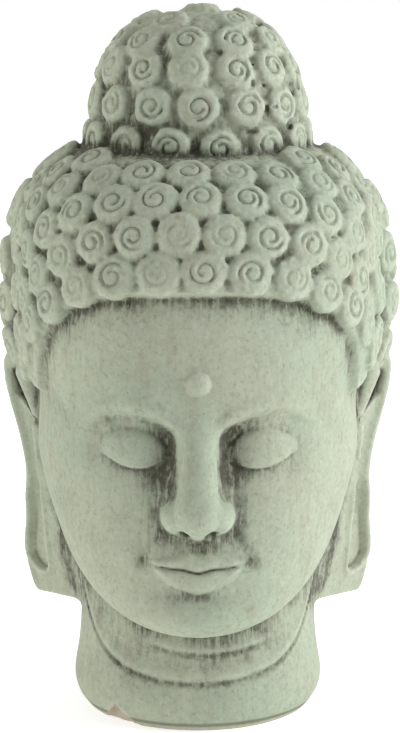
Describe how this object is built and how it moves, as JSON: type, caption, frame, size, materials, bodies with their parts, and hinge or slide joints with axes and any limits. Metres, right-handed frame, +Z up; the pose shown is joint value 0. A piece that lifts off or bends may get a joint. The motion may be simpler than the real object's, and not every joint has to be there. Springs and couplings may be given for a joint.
{
  "type": "stone buddha head",
  "caption": "Garden or shelf ornament: a calm head with snail-curl hair, domed topknot and long slotted ear lobes, cut off flat at the neck.",
  "frame": {"origin": "on the flat base, under the middle of the bounding box", "axes": "+Z up, the face looks along -Y, the figure's left ear is at +X"},
  "size_m": [0.2252, 0.2388, 0.3972],
  "materials": {
    "stone": "matt pale grey-green wash with dark antique wash in the recesses"
  },
  "bodies": {
    "root": {"buddha_head": "stone"}
  },
  "joints": []
}
